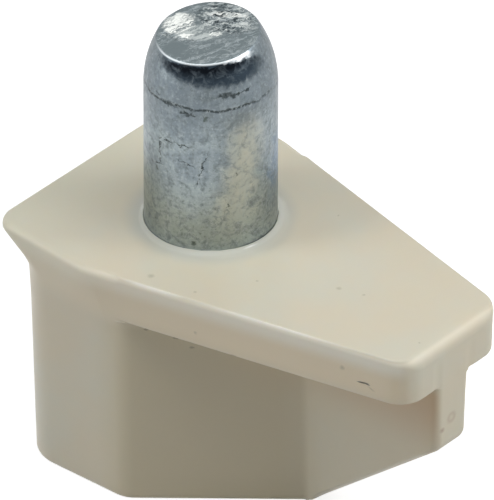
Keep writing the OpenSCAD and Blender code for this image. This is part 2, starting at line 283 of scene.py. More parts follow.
# ---------------------------------------------------------------- pin
def pin_rings(count=288):
    """The pin as closed rings: shank, shoulder, straight wall, nose, rounded rim and sheared face.
    Round the pin, each meridian of the turned nose ends where it meets the tilted cutting plane."""
    turn = np.linspace(0, 2 * math.pi, count, endpoint=False)
    way = np.column_stack([np.cos(turn), np.sin(turn)])
    centre_r = PIN_R - NOSE_R
    touch = math.atan2(NOSE_RISE, NOSE_FLAT_R - centre_r)
    long_arc, rim_arc = np.linspace(0, touch, 240), np.linspace(touch, math.pi / 2, 120)[1:]
    r = np.concatenate([centre_r + NOSE_R * np.cos(long_arc), NOSE_FLAT_R + RIM_R * np.cos(rim_arc)])
    z = PIN_STRAIGHT + np.concatenate([NOSE_R * np.sin(long_arc), NOSE_RISE + RIM_R * np.sin(rim_arc)])
    length = np.concatenate([[0], np.cumsum(np.hypot(np.diff(r), np.diff(z)))])
    lift = math.tan(SHEAR_TILT) * np.cos(turn - SHEAR_FACING)
    over = z[None] - (CUT_HEIGHT + lift[:, None] * r[None])
    first = np.argmax(over > 0, 1)
    before = first - 1
    rows = np.arange(count)
    part = over[rows, before] / (over[rows, before] - over[rows, first])
    reach = length[before] + part * (length[first] - length[before])

    rings = [np.column_stack([way * a, np.full(count, b)]) for a, b in
             [(SHANK_R * 0.5, -SHANK_L), (SHANK_R - SHANK_CHAMFER, -SHANK_L),
              (SHANK_R, SHANK_CHAMFER - SHANK_L),
              (SHANK_R, 0), (PIN_R, 0), (PIN_R, 0.01), (PIN_R, 0.3), (PIN_R, 1.5), (PIN_R, 3), (PIN_R, 4.5),
              (PIN_R, 5.7), (PIN_R, PIN_STRAIGHT - 0.02)]]
    burr = 0.05          # rounding of the sheared edge
    for k in np.concatenate([np.linspace(0, 0.94, 40), [0.965]]):
        at = (reach - burr) * k / 0.965
        rings.append(np.column_stack([way * np.interp(at, length, r)[:, None], np.interp(at, length, z)]))
    edge_r = np.interp(reach, length, r)
    edge_z = np.interp(reach, length, z)
    low, high = rings[-1], np.column_stack([way * (edge_r - burr)[:, None], edge_z - burr * lift])
    corner = np.column_stack([way * edge_r[:, None], edge_z])
    for t in (0.2, 0.4, 0.6, 0.8, 1.0):
        bend = 0.75 * corner + 0.125 * (low + high)
        rings.append((1 - t) ** 2 * low + 2 * t * (1 - t) * bend + t ** 2 * high)
    for k in np.linspace(1, 0, 26)[1:-1]:
        inner = (edge_r - burr) * k
        rings.append(np.column_stack([way * inner[:, None], CUT_HEIGHT + lift * inner]))
    return np.array(rings)


def turning(rings):
    """How fast the surface turns away at each point, per mm: the larger of two shares, along the ring
    and across the rings, each the change of the normal along a step over the step's length."""
    steps = [np.gradient(rings, axis=0), (np.roll(rings, -1, 1) - np.roll(rings, 1, 1)) / 2]
    normal = np.cross(*steps)
    normal /= np.maximum(np.linalg.norm(normal, axis=2, keepdims=True), 1e-9)
    change = [np.gradient(normal, axis=0), (np.roll(normal, -1, 1) - np.roll(normal, 1, 1)) / 2]
    return [(c * s).sum(2) / np.maximum((s * s).sum(2), 8e-4) for c, s in zip(change, steps)]


def skin(name, rings):
    """A closed mesh over rings of equal length, in millimetres, with a point in the middle of the
    first and of the last. Its faces point outwards. The attribute edge is 1 where the surface turns
    outwards on a radius of 0.3 mm or less, and 0 on flats and in hollows."""
    many, count = rings.shape[:2]
    middle = rings[[0, -1]].mean(1)
    middle[:, :2] = 0
    points = np.concatenate([rings.reshape(-1, 3), middle]) * MM
    i = np.arange(count)
    j = (i + 1) % count
    low = np.arange(many - 1)[:, None] * count
    quads = np.stack([low + i, low + count + i, low + count + j, low + j], 2).reshape(-1, 4)
    first = np.column_stack([np.full(count, many * count), i, j])
    rim = (many - 1) * count
    last = np.column_stack([np.full(count, many * count + 1), rim + j, rim + i])
    mesh = bpy.data.meshes.new(name)
    mesh.from_pydata(points.tolist(), [], quads.tolist() + first.tolist() + last.tolist())
    mesh.validate()
    mesh.calc_loop_triangles()
    solid = np.empty(len(mesh.loop_triangles) * 3, np.int32)
    mesh.loop_triangles.foreach_get("vertices", solid)
    a, b, c = points[solid[0::3]], points[solid[1::3]], points[solid[2::3]]
    if (a * np.cross(b, c)).sum() < 0:
        mesh.flip_normals()
    facing = -1 if rings[-1, :, 2].mean() > rings[0, :, 2].mean() else 1          # of the normals in turning
    edge = np.clip(0.3 * facing * np.array(turning(rings)), 0, 1).max(0)
    mesh.attributes.new("edge", "FLOAT", "POINT").data.foreach_set("value", np.append(edge, (0.0, 0.0)))
    mesh.polygons.foreach_set("use_smooth", np.ones(len(mesh.polygons), bool))
    obj = bpy.data.objects.new(name, mesh)
    bpy.context.scene.collection.objects.link(obj)
    return obj


# ---------------------------------------------------------------- materials
# Directions on the object: up, out of the plate's two sides, and out of the web's end
TOP, SIDE, OTHER_SIDE, WEB_FACE = (0, 0, 1), (0.223, -0.975, 0), (0.223, 0.975, 0), (1, 0, 0)
# Fixed directions towards the side of the rim and of the cut where highlights are painted, and across the
# pin's tinted bands
RIM_GLINT_SIDE, CUT_HIGHLIGHT_SIDE, BANDS = (0.9, -0.43, 0), (0.4, -0.92, 0), (0.756, 0.654, -0.13)
RIM_CREST, CRACK_RING = 2.68, 6.65          # in mm: radius of the rim's crest, height of the cracks' ring


def linear(text):
    """The linear colour of an sRGB hex value."""
    s = np.array([int(text[k:k + 2], 16) for k in (1, 3, 5)]) / 255
    return (*np.where(s <= 0.04045, s / 12.92, ((s + 0.055) / 1.055) ** 2.4).tolist(), 1.0)


def add(tree, kind, inputs=None, **settings):
    """A shader node with its settings. An input is a value, or an output of another node to link."""
    node = tree.nodes.new("ShaderNode" + kind)
    for name, value in settings.items():
        setattr(node, name, value)
    for socket, value in (inputs or {}).items():
        if isinstance(value, bpy.types.NodeSocket):
            tree.links.new(value, node.inputs[socket])
        else:
            node.inputs[socket].default_value = value
    return node


def surface(name):
    """A new material, its tree, its shader and the Object coordinates."""
    material = bpy.data.materials.new(name)
    material.use_nodes = True
    tree = material.node_tree
    tree.nodes.clear()
    shader = add(tree, "BsdfPrincipled")
    add(tree, "OutputMaterial", {"Surface": shader.outputs[0]})
    return material, tree, shader, add(tree, "TexCoord").outputs["Object"]


def scar(tree, place, start, end, breadth, outward, deep=0.3):
    """How far a point is inside a thin ellipsoid, 1 in its middle and 0 outside. It lies between two
    points in mm, has this breadth across, and reaches deep mm into the surface along outward."""
    start, end, outward = Vector(start), Vector(end), Vector(outward).normalized()
    way = (end - start).normalized() if (end - start).length > 1e-6 else outward.orthogonal().normalized()
    outward = (outward - way * way.dot(outward)).normalized()
    turned = Matrix((way, outward.cross(way), outward)).transposed()
    long = max((end - start).length * 0.55, breadth / 2)
    local = add(tree, "Mapping", {"Vector": place, "Location": (start + end) / 2 * MM,
                                  "Rotation": turned.to_euler(),
                                  "Scale": Vector((long, breadth / 2, deep)) * MM},
                vector_type="TEXTURE").outputs[0]
    return add(tree, "TexGradient", {"Vector": local}, gradient_type="SPHERICAL").outputs["Fac"]


def folded(tree, operation, masks):
    """Several masks made into one, two at a time, by a Math operation."""
    return reduce(lambda one, two: add(tree, "Math", {0: one, 1: two}, operation=operation).outputs[0], masks)


def strongest(tree, masks):
    """The largest of several masks."""
    return folded(tree, "MAXIMUM", masks)


def product(tree, *masks):
    """The product of several masks."""
    return folded(tree, "MULTIPLY", masks)


def layered(tree, tone, layers):
    """A colour with others laid over it in turn, each a mask and an sRGB hex value."""
    for mask, tint in layers:
        tone = add(tree, "Mix", {0: mask, 6: tone, 7: linear(tint)}, data_type="RGBA").outputs[2]
    return tone


def moulded_plastic():
    """Ivory polyamide, injection moulded in a polished tool: satin, faintly cloudy, and a little
    translucent, so that edges look softer. Some of its light and shade is drawn in its colour."""
    material, tree, shader, place = surface("moulded_polyamide")
    axes = add(tree, "SeparateXYZ", {0: place}).outputs
    sideways = add(tree, "Math", {0: axes[1]}, operation="ABSOLUTE").outputs[0]
    # Clouds of 4 mm from the melt's flow, and a finer, weaker mottle of 0.8 mm
    cloud = add(tree, "TexNoise", {"Vector": place, "Scale": 1 / (4 * MM), "Detail": 2.0}).outputs["Fac"]
    cloud = add(tree, "MapRange", {"Value": cloud, "From Min": 0.35, "From Max": 0.65},
                interpolation_type="SMOOTHSTEP").outputs[0]
    mottle = add(tree, "TexNoise", {"Vector": place, "Scale": 1 / (0.8 * MM), "Detail": 3.0}).outputs["Fac"]
    mottle = add(tree, "MapRange", {"Value": mottle, "From Min": 0.4, "From Max": 0.75,
                                    "To Max": 0.3}).outputs[0]

    # Shares that change along X, which is 0, or Z, which is 2: the axis, two places in mm, two values
    below, above, inward, beside, low, high, start, end, lit, lip, short, shallow, tip = [
        add(tree, "MapRange", {"Value": axes[axis], "From Min": first * MM, "From Max": last * MM,
                               "To Min": least, "To Max": most}, interpolation_type="SMOOTHSTEP").outputs[0]
        for axis, first, last, least, most in [
            (2, -1.8, -2.4, 0, 1), (2, -5.6, -2.8, 0, 1), (0, 2, 8, 0, 1), (0, -1.5, 0.5, 0, 1),
            (2, -0.02, -0.12, 0, 1), (2, -2.5, -1.4, 0, 1), (0, -4.6, 7, 0.5, 1), (0, 11.95, 11.4, 0, 1),
            (2, -0.95, -0.3, 0, 0.9), (0, -2, -5.6, 0, 1), (0, 0, -2.5, 0, 1), (2, -1.4, -0.3, 0, 1),
            (0, 10.9, 11.5, 0, 1)]]

    # Shade drawn in the colour: darker under the overhang, and warmer in the nook beside the web
    off = add(tree, "Math", {0: axes[0], 1: sideways}, operation="SUBTRACT").outputs[0]
    outward = add(tree, "MapRange", {"Value": off, "From Min": 11.25 * MM, "From Max": 10.7 * MM},
                  interpolation_type="SMOOTHSTEP").outputs[0]
    cheeks = add(tree, "MapRange", {"Value": axes[0], "From Min": 6.2 * MM, "From Max": 4.6 * MM,
                                    "To Min": 0.3}).outputs[0]
    under, nook = product(tree, below, outward, beside, cheeks), product(tree, below, outward, above, inward)

    # Light drawn in the colour, as if it came through thin plastic: the plate's sides are warmer, and
    # paler near their upper edge, and the lip is paler towards its edge and its corners
    thin = product(tree, low, high, start, end)
    lit = product(tree, lit, thin)
    ends = add(tree, "MapRange", {"Value": sideways, "From Min": 3.6 * MM, "From Max": 5.2 * MM,
                                  "To Max": 0.5}, interpolation_type="SMOOTHSTEP").outputs[0]
    lip = product(tree, strongest(tree, [lip, product(tree, ends, short)]), shallow)

    # Painted shade: a grey ring on the rim round the pin's base, where the pin meets the plastic
    out = add(tree, "VectorMath", {0: place, 1: (1, 1, 0)}, operation="MULTIPLY").outputs[0]
    out = add(tree, "VectorMath", {0: out}, operation="LENGTH").outputs["Value"]
    pin_base_shade = add(tree, "MapRange", {"Value": out, "From Min": 3.5 * MM, "From Max": 2.6 * MM,
                                    "To Max": 0.75}, interpolation_type="SMOOTHSTEP").outputs[0]

    # Two painted highlights drawn in the colour. One is a pale line on the crest of the rim, on one side of
    # it, with a short streak on it. The other runs along the crease of one side's upper edge, and is wider
    # near the shoulder
    crest = add(tree, "Math", {0: out, 1: RIM_CREST * MM}, operation="SUBTRACT").outputs[0]
    crest = add(tree, "Math", {0: crest}, operation="ABSOLUTE").outputs[0]
    crest = add(tree, "MapRange", {"Value": crest, "From Min": 0.12 * MM, "From Max": 0.03 * MM,
                                   "To Max": 0.12}, interpolation_type="SMOOTHSTEP").outputs[0]
    facing = add(tree, "VectorMath", {0: place, 1: RIM_GLINT_SIDE}, operation="DOT_PRODUCT").outputs["Value"]
    facing = add(tree, "MapRange", {"Value": facing, "From Min": -0.5 * MM, "From Max": 2 * MM}).outputs[0]
    crest_glint = scar(tree, place, (2.45, -1.1, 0.1), (2.66, -0.3, 0.1), 0.12, TOP, 0.6)
    crest = strongest(tree, [product(tree, crest, facing), crest_glint])
    shine = strongest(tree, [scar(tree, place, one, two, wide, TOP) for one, two, wide in [
        ((0.3, -5.28, -0.04), (2.8, -4.71, -0.04), 0.1), ((2.8, -4.71, -0.04), (9.9, -3.07, -0.04), 0.08)]])
    shine = add(tree, "MapRange", {"Value": shine, "From Max": 0.6}).outputs[0]

    # Dark specks of burnt melt in the face and sides, chips along the edge under the overhang, a nick
    # and a scratch near a corner, and a stain round a clean core on the web's end
    ragged = add(tree, "TexNoise", {"Vector": place, "Scale": 1 / (0.12 * MM),
                                    "Detail": 2.0}).outputs["Color"]
    ragged = add(tree, "VectorMath", {0: ragged, 1: (0.5, 0.5, 0.5)}, operation="SUBTRACT").outputs[0]
    rough_place = add(tree, "VectorMath", {0: ragged, 1: (0.09 * MM,) * 3, 2: place},
                      operation="MULTIPLY_ADD").outputs[0]
    speck = strongest(tree, [scar(tree, rough_place, at, at, size, way, size / 2) for at, size, way in [
        ((0.94, -4.45, 0), 0.34, TOP), ((2.85, -4.16, 0), 0.18, TOP), ((6.71, -0.5, 0), 0.26, TOP),
        ((7.68, -0.21, 0), 0.17, TOP), ((11.2, -1.2, 0), 0.12, TOP), ((4.11, -2.12, 0), 0.16, TOP),
        ((-3.4, 2.6, 0), 0.15, TOP), ((3.6, 3.1, 0), 0.13, TOP), ((3.28, -4.65, -1.39), 0.2, SIDE),
        ((4.8, 4.3, -1.1), 0.2, OTHER_SIDE), ((9.25, -3.28, -0.93), 0.28, SIDE)]])
    chip = strongest(tree, [
        scar(tree, rough_place, at, (at[0] + wide, at[1] + 0.23 * wide, at[2]), 0.12, SIDE)
        for at, wide in [((0.83, -4.78, -2.3), 0.2), ((1.65, -4.09, -2.67), 0.3), ((2.12, -3.68, -3.1), 0.22),
                         ((3.0, -4.72, -1.95), 0.12), ((4.1, -4.47, -1.94), 0.1),
                         ((4.7, -4.33, -1.93), 0.25), ((6.6, -3.9, -1.94), 0.1)]])
    cut = strongest(tree, [scar(tree, place, (9.8, -3.16, -1.35), (10.38, -3.02, -1.3), 0.1, SIDE),
                           scar(tree, place, (10.1, -3.1, -1.31), (10.4, -3.02, -1.37), 0.07, SIDE)])
    scratch = scar(tree, place, (10.26, -3.05, -1.4), (10.6, -2.98, -1.6), 0.09, SIDE)
    scrape = add(tree, "Math", {0: scratch, 1: 0.5}, operation="MULTIPLY").outputs[0]
    large, small, core = [scar(tree, place, (11.85, y, z), (11.85, y + 0.05, z), wide, WEB_FACE)
                          for y, z, wide in [(-0.1, -3.66, 0.62), (-0.6, -4.0, 0.3), (-0.1, -3.66, 0.34)]]
    stain = add(tree, "Math", {0: strongest(tree, [large, small]), 1: core}, operation="SUBTRACT",
                use_clamp=True).outputs[0]
    speck, chip, cut = [add(tree, "MapRange", {"Value": mask, "From Min": first, "From Max": last,
                                               "To Max": most}).outputs[0]
                        for mask, first, last, most in [(speck, 0, 0.8, 0.42), (chip, 0, 0.5, 0.45),
                                                        (cut, 0.1, 0.5, 1)]]

    # A painted highlight makes the edges lighter, and they are also a little smoother, unevenly, and hardly
    # at all at the narrow end, which is duller
    edge = add(tree, "Attribute", attribute_name="edge").outputs["Fac"]
    edge = add(tree, "MapRange", {"Value": edge, "From Min": 0.4, "From Max": 1.0, "To Max": 0.33},
               interpolation_type="SMOOTHSTEP").outputs[0]
    most, blunt = [add(tree, "Math", {0: mask, 1: change, 2: base}, operation="MULTIPLY_ADD").outputs[0]
                   for mask, change, base in [(beside, 0.7, 0.3), (tip, -0.9, 1)]]
    edge = product(tree, edge, most, blunt)
    tone = add(tree, "Mix", {0: cloud, 6: linear("#DCD3BC"), 7: linear("#D9D5C2")},
               data_type="RGBA").outputs[2]
    tone = layered(tree, tone, [
        (edge, "#EDEBDF"), (mottle, "#DED4BC"), (under, "#D3C9AD"), (nook, "#D0B898"), (thin, "#EBDDC1"),
        (lit, "#F5F1E2"), (lip, "#E6E2CC"), (pin_base_shade, "#C0C3BB"), (crest, "#F2F3EE"), (shine, "#FFFBEE"),
        (stain, "#B9A38C"), (scrape, "#A8987A"), (speck, "#9A9678"), (chip, "#6E6650"), (cut, "#5A523F")])
    tree.links.new(tone, shader.inputs["Base Color"])

    # The tool's faint waviness of 2 mm, and its fine orange peel of 0.1 mm; nick, scratch and chips sunk
    wave = add(tree, "TexNoise", {"Vector": place, "Scale": 1 / (2 * MM), "Detail": 2.0}).outputs["Fac"]
    peel = add(tree, "TexNoise", {"Vector": place, "Scale": 1 / (0.1 * MM), "Detail": 2.0}).outputs["Fac"]
    relief = add(tree, "Math", {0: peel, 1: 0.02, 2: wave}, operation="MULTIPLY_ADD").outputs[0]
    dents = strongest(tree, [cut, scrape, chip])
    relief = add(tree, "Math", {0: dents, 1: -1.5, 2: relief}, operation="MULTIPLY_ADD").outputs[0]
    bump = add(tree, "Bump", {"Height": relief, "Strength": 0.6, "Distance": 0.03 * MM}).outputs[0]
    tree.links.new(bump, shader.inputs["Normal"])
    gloss = add(tree, "MapRange", {"Value": mottle, "To Min": 0.32, "To Max": 0.5}).outputs[0]
    for mask, change in [(edge, -0.04), (tip, 0.15)]:
        gloss = add(tree, "Math", {0: mask, 1: change, 2: gloss}, operation="MULTIPLY_ADD").outputs[0]
    tree.links.new(gloss, shader.inputs["Roughness"])
    shader.inputs["IOR"].default_value = 1.53
    shader.inputs["Subsurface Weight"].default_value = 0.15
    shader.inputs["Subsurface Radius"].default_value = (1.0, 0.7, 0.4)
    shader.inputs["Subsurface Scale"].default_value = 0.35 * MM
    return material


def plated_steel():
    """Steel, sheared off, zinc plated, passivated and tumbled: a dulled metal, mottled grey, with faint
    yellow and blue tints, fine cracks in the plating and a scraped, streaked and pitted cut face.
    A glint and a highlight along the cut's edge are painted in its colour."""
    material, tree, shader, place = surface("zinc_plated_steel")
    axes = add(tree, "SeparateXYZ", {0: place}).outputs
    # Mottling in blotches of 1.1 mm and of 0.35 mm, with grains of 0.13 mm
    cloud = add(tree, "TexNoise", {"Vector": place, "Scale": 1 / (1.1 * MM), "Detail": 3.0,
                                   "Distortion": 0.5}).outputs["Fac"]
    blotch = add(tree, "TexNoise", {"Vector": place, "Scale": 1 / (0.35 * MM), "Detail": 4.0,
                                    "Roughness": 0.65, "Distortion": 0.6}).outputs["Fac"]
    grain = add(tree, "TexNoise", {"Vector": place, "Scale": 1 / (0.13 * MM), "Detail": 3.0,
                                   "Roughness": 0.7}).outputs["Fac"]
    pale = add(tree, "MapRange", {"Value": cloud, "From Min": 0.38, "From Max": 0.64},
               interpolation_type="SMOOTHSTEP").outputs[0]
    # Shares of a noise: two of its levels, and the values there
    dull, fleck, pit, patchy, gaps, some, crescent_breakup, dim, chips, gloss = [
        add(tree, "MapRange", {"Value": noise, "From Min": first, "From Max": last, "To Min": least,
                               "To Max": most}).outputs[0]
        for noise, first, last, least, most in [
            (blotch, 0.52, 0.34, 0, 0.8), (grain, 0.53, 0.7, 0, 0.6), (grain, 0.43, 0.3, 0, 0.6),
            (blotch, 0.38, 0.56, 0.75, 1), (grain, 0.64, 0.5, 0, 0.85), (cloud, 0.5, 0.62, 0, 1),
            (blotch, 0.62, 0.5, 0.75, 1), (blotch, 0.35, 0.6, 0.35, 1), (blotch, 0.56, 0.68, 0, 0.5),
            (blotch, 0.3, 0.7, 0.45, 0.33)]]

    # The lower 3 mm are greyer and greener, and the top is darker. A soft, patchy, upright yellow band is
    # drawn in the colour, and a blue one beside it. Both are placed along one fixed direction, so the far
    # side of the pin repeats them
    base_tint, upper, foot = [
        add(tree, "MapRange", {"Value": axes[2], "From Min": first * MM, "From Max": last * MM,
                               "To Max": most}, interpolation_type="SMOOTHSTEP").outputs[0]
        for first, last, most in [(3.6, 1.2, 0.8), (4.3, 6.5, 0.8), (0.2, 2.6, 1)]]
    below = add(tree, "MapRange", {"Value": axes[2], "From Min": 6.4 * MM, "From Max": 5.4 * MM,
                                   "To Max": 0.8}).outputs[0]
    across = add(tree, "VectorMath", {0: place, 1: BANDS}, operation="DOT_PRODUCT").outputs["Value"]
    across = add(tree, "Math", {0: cloud, 1: 1.6 * MM, 2: across}, operation="MULTIPLY_ADD").outputs[0]
    near, far, blue = [
        add(tree, "MapRange", {"Value": across, "From Min": first * MM, "From Max": last * MM,
                               "To Max": most}, interpolation_type="SMOOTHSTEP").outputs[0]
        for first, last, most in [(0.5, 1.4, 1), (2.35, 1.65, 1), (2.4, 2.9, 0.8)]]
    yellow = product(tree, near, far, below, foot, patchy)
    blue = product(tree, blue, foot)

    # Fewer flecks and streaks towards the nose, and a more even tone in the yellow band
    less, even = [add(tree, "Math", {0: mask, 1: change, 2: 1}, operation="MULTIPLY_ADD").outputs[0]
                  for mask, change in [(upper, -0.5), (yellow, -0.8)]]
    fleck, dull, pit = product(tree, fleck, less), product(tree, dull, even), product(tree, pit, even)

    # Faint upright streaks, 0.22 mm wide and 1.8 mm long, from the drawing of the wire
    drawn = add(tree, "Mapping", {"Vector": place, "Scale": (0.22 * MM, 0.22 * MM, 1.8 * MM)},
                vector_type="TEXTURE").outputs[0]
    drawn = add(tree, "TexNoise", {"Vector": drawn, "Scale": 1.0, "Detail": 2.0}).outputs["Fac"]
    drawn = add(tree, "MapRange", {"Value": drawn, "From Min": 0.48, "From Max": 0.68,
                                   "To Max": 0.4}).outputs[0]
    drawn = product(tree, drawn, less)

    # Cracks in the plating: a broken ring where the nose begins, and short ones under it. All are
    # drawn on coordinates that a noise of 0.2 mm shifts, and a noise of 0.13 mm breaks them up. Dark
    # smudges lie beside some of them, single spots elsewhere, and a faint craze in cells of 0.6 mm
    waver = add(tree, "TexNoise", {"Vector": place, "Scale": 1 / (0.2 * MM), "Detail": 3.0}).outputs["Color"]
    waver = add(tree, "VectorMath", {0: waver, 1: (0.5, 0.5, 0.5)}, operation="SUBTRACT").outputs[0]
    torn = add(tree, "VectorMath", {0: waver, 1: (0.4 * MM,) * 3, 2: place},
               operation="MULTIPLY_ADD").outputs[0]
    height = add(tree, "Math", {0: cloud, 1: 0.5 * MM, 2: axes[2]}, operation="MULTIPLY_ADD").outputs[0]
    height = add(tree, "Math", {0: blotch, 1: 0.12 * MM, 2: height}, operation="MULTIPLY_ADD").outputs[0]
    off = add(tree, "Math", {0: height, 1: CRACK_RING * MM}, operation="SUBTRACT").outputs[0]
    off = add(tree, "Math", {0: off}, operation="ABSOLUTE").outputs[0]
    ringed = add(tree, "MapRange", {"Value": off, "From Min": 0.08 * MM, "From Max": 0.02 * MM}).outputs[0]
    fading = add(tree, "MapRange", {"Value": across, "From Min": 2.25 * MM, "From Max": 1.25 * MM,
                                    "To Min": 0.35}).outputs[0]
    cracks = [
        ((0.55, -2.42, 6.2), (1.19, -2.2, 6.11), 0.13), ((-0.94, -2.28, 6.54), (-0.35, -2.45, 6.49), 0.07),
        ((-0.39, -2.47, 4.61), (0.3, -2.46, 4.7), 0.06), ((0.3, -2.46, 4.68), (1.12, -2.23, 4.6), 0.07),
        ((-0.33, -2.48, 4.6), (-0.33, -2.48, 3.5), 0.06), ((-0.91, -2.33, 3.3), (-0.23, -2.49, 3.5), 0.06),
        ((0.5, -2.44, 3.98), (1.22, -2.18, 3.8), 0.06), ((1.55, -1.96, 4.45), (1.19, -2.2, 2.94), 0.05),
        ((1.75, -1.66, 6.9), (2.24, -0.83, 6.96), 0.12), ((2.05, -1.25, 6.85), (2.38, -0.39, 7.03), 0.07),
        ((-2.45, 0.4, 4.9), (-2.3, 0.95, 3.8), 0.06), ((1.0, 2.29, 5.2), (1.6, 1.92, 4.7), 0.06)]
    smudges = [
        ((-0.35, -2.46, 6.33), (0.6, -2.43, 6.3), 0.17), ((0.5, -2.44, 6.12), (1.15, -2.22, 6.1), 0.15),
        ((1.7, -1.72, 6.93), (2.2, -0.9, 6.93), 0.3)]
    spots = [(at, at, wide) for at, wide in [
        ((1.5, -2.0, 6.0), 0.24), ((2.24, -1.1, 3.43), 0.16), ((-0.5, -2.45, 3.2), 0.2),
        ((1.1, -2.25, 0.4), 0.25), ((2.05, -1.42, 2.1), 0.2), ((-1.8, 1.7, 2.6), 0.25),
        ((-0.87, 1.3, 8.32), 0.35)]]
    crack, smudge, spot = [
        add(tree, "MapRange", {
            "Value": strongest(tree, [scar(tree, torn, one, two, wide, (one[0] + two[0], one[1] + two[1], 0))
                                      for one, two, wide in marks]),
            "From Min": first, "From Max": last, "To Max": most}).outputs[0]
        for marks, first, last, most in [
            (cracks, 0.05, 0.25, 1), (smudges, 0.05, 0.5, 0.7), (spots, 0.1, 0.7, 0.8)]]
    crack = product(tree, strongest(tree, [crack, product(tree, ringed, fading)]), gaps)
    crack = strongest(tree, [crack, smudge])
    cells = add(tree, "TexVoronoi", {"Vector": torn, "Scale": 1 / (0.6 * MM)},
                feature="DISTANCE_TO_EDGE").outputs["Distance"]
    craze = add(tree, "MapRange", {"Value": cells, "From Min": 0.06, "From Max": 0.02,
                                   "To Max": 0.3}).outputs[0]
    craze = product(tree, craze, some, gaps)

    # Depth under the cut face. Under its rim, on one side, lies a black crescent that fades downwards. A
    # painted glint beside it and a painted highlight along the cut's front edge are drawn in the colour
    lean = math.tan(SHEAR_TILT)
    plane = (-lean * math.cos(SHEAR_FACING), -lean * math.sin(SHEAR_FACING), 1)
    rise = add(tree, "VectorMath", {0: place, 1: plane}, operation="DOT_PRODUCT").outputs["Value"]
    sunk = add(tree, "Math", {0: CUT_HEIGHT * MM, 1: rise}, operation="SUBTRACT").outputs[0]
    frayed = add(tree, "Math", {0: blotch, 1: 0.5 * MM, 2: sunk}, operation="MULTIPLY_ADD").outputs[0]
    dark_crescent = scar(tree, torn, (-0.75, -2.0, 7.72), (2.4, 0.25, 7.6), 1.45, (0.7, -0.7, 0), 1.7)
    dark_crescent = add(tree, "MapRange", {"Value": dark_crescent, "To Max": 0.95, "From Max": 0.3},
                interpolation_type="SMOOTHSTEP").outputs[0]
    dark_crescent = product(tree, dark_crescent, crescent_breakup)
    black = [add(tree, "MapRange", {"Value": frayed, "From Min": first * MM,
                                    "From Max": last * MM}).outputs[0]
             for first, last in [(0.32, 0.38), (0.85, 0.5)]]
    black = product(tree, *black, dark_crescent)
    glint = scar(tree, torn, (1.45, -1.2, 8.05), (1.96, 0.1, 8.15), 0.34, (0.8, -0.3, 0.5), 0.5)
    glint = add(tree, "MapRange", {"Value": glint, "From Min": 0.02, "From Max": 0.5}).outputs[0]
    glint = product(tree, glint, dim)
    # A painted highlight along the front edge of the cut, on one side only
    front = add(tree, "VectorMath", {0: place, 1: CUT_HIGHLIGHT_SIDE}, operation="DOT_PRODUCT").outputs["Value"]
    front = add(tree, "MapRange", {"Value": front, "From Min": 0.7 * MM, "From Max": 1.5 * MM,
                                   "To Max": 0.8}, interpolation_type="SMOOTHSTEP").outputs[0]
    rim = add(tree, "Attribute", attribute_name="edge").outputs["Fac"]
    rim = add(tree, "MapRange", {"Value": rim, "From Min": 0.4, "From Max": 1.0}).outputs[0]
    rim = product(tree, rim, front)

    # The cut face: streaks along the shear's stroke, a bright scraped patch with a fainter swept one,
    # a band where the metal broke away in ragged pits, and one smoother area
    cut = add(tree, "MapRange", {"Value": sunk, "From Min": 0.02 * MM, "From Max": 0.005 * MM}).outputs[0]
    streak, fringe = [
        add(tree, "Mapping", {"Vector": torn, "Rotation": (0, 0, math.radians(turn)),
                              "Scale": [size * MM for size in grains]}, vector_type="TEXTURE").outputs[0]
        for turn, grains in [(-21, (0.075, 1.0, 0.5)), (-49, (0.14, 0.34, 0.34))]]
    streak = add(tree, "TexNoise", {"Vector": streak, "Scale": 1.0, "Detail": 3.0,
                                    "Roughness": 0.6}).outputs["Fac"]
    fringe = add(tree, "TexNoise", {"Vector": fringe, "Scale": 1.0, "Detail": 4.0, "Roughness": 0.7,
                                    "Distortion": 0.6}).outputs["Fac"]
    scraped, swept, pitted, smoothed = [
        add(tree, "MapRange", {
            "Value": strongest(tree, [scar(tree, torn, one, two, wide, TOP, 0.5)
                                      for one, two, wide in marks]),
            "From Min": first, "From Max": last, "To Min": least, "To Max": most}).outputs[0]
        for first, last, least, most, marks in [
            (0.02, 0.25, 0, 1, [((-1.35, -0.95, 8.1), (-1.3, 0.4, 8.2), 1.25),
                                ((-0.75, -0.85, 8.1), (-0.35, -0.5, 8.15), 0.3),
                                ((0.05, -0.1, 8.2), (0.5, 0.1, 8.25), 0.3),
                                ((-0.9, 0.75, 8.3), (0.5, 1.5, 8.35), 0.35)]),
            (0, 0.4, 0, 0.8, [((-1.1, -0.75, 8.1), (0.5, 0.15, 8.2), 1.1)]),
            (0.02, 0.3, 0, 1, [((-1.35, 0.75, 8.3), (1.25, 1.15, 8.3), 2.1),
                               ((-0.85, 1.3, 8.33), (-0.6, 1.4, 8.33), 0.2),
                               ((-0.4, 0.2, 8.2), (0.2, 0.4, 8.3), 0.4),
                               ((-1.6, -1.1, 8.1), (-1.0, -1.1, 8.1), 0.22),
                               ((-1.05, -1.08, 8.1), (-0.1, -0.75, 8.1), 0.25)]),
            (0, 0.4, 1, 0, [((-0.95, -1.55, 8.0), (0.1, -1.5, 8.1), 1.1)])]]
    lines, thin, hollow, torn_up = [
        add(tree, "MapRange", {"Value": noise, "From Min": first, "From Max": last, "To Min": least,
                               "To Max": most}).outputs[0]
        for noise, first, last, least, most in [
            (streak, 0.4, 0.53, 0.12, 1), (streak, 0.5, 0.62, 0, 0.7), (fringe, 0.5, 0.4, 0, 1),
            (fringe, 0.52, 0.6, 0, 1)]]
    face = layered(tree, linear("#6E797C"), [(product(tree, one, two), tint) for one, two, tint in [
        (thin, smoothed, "#A9B2B5"), (chips, smoothed, "#B4BCBD"), (swept, lines, "#C3CAC8"),
        (scraped, lines, "#F0F3EF"), (pitted, torn_up, "#C9CFCD"), (pitted, hollow, "#343C40")]])

